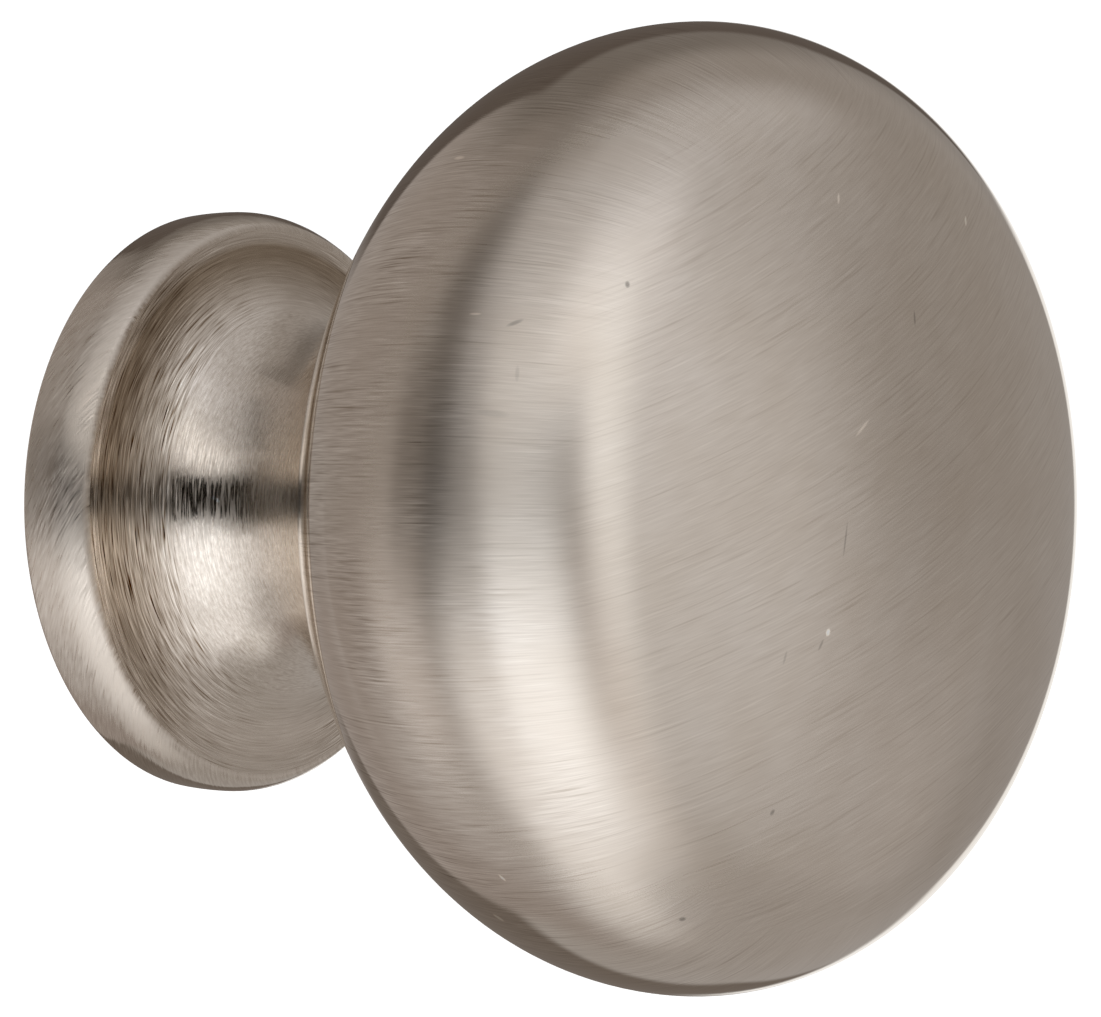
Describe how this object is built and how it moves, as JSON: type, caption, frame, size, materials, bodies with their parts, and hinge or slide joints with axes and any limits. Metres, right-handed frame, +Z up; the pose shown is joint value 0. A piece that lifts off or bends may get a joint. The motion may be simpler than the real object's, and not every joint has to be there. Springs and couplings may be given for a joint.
{
  "type": "cabinet knob",
  "caption": "Round mushroom cabinet knob in brushed nickel: crowned head on a waisted neck and a round flange, with a threaded screw hole in its seat.",
  "frame": {"origin": "centre of the round seat face that bears on the door, on the knob's axis", "axes": "as fitted on an upright door: +Y runs along the knob's axis into the door, so the knob stands out towards -Y, +Z is up and +X completes a right-handed frame"},
  "size_m": [0.0318, 0.0301, 0.0318],
  "materials": {
    "brushed_nickel": "satin nickel, brushed by hand: parallel strokes on the face, turning marks in the cove"
  },
  "bodies": {
    "root": {"knob": "brushed_nickel"}
  },
  "joints": []
}
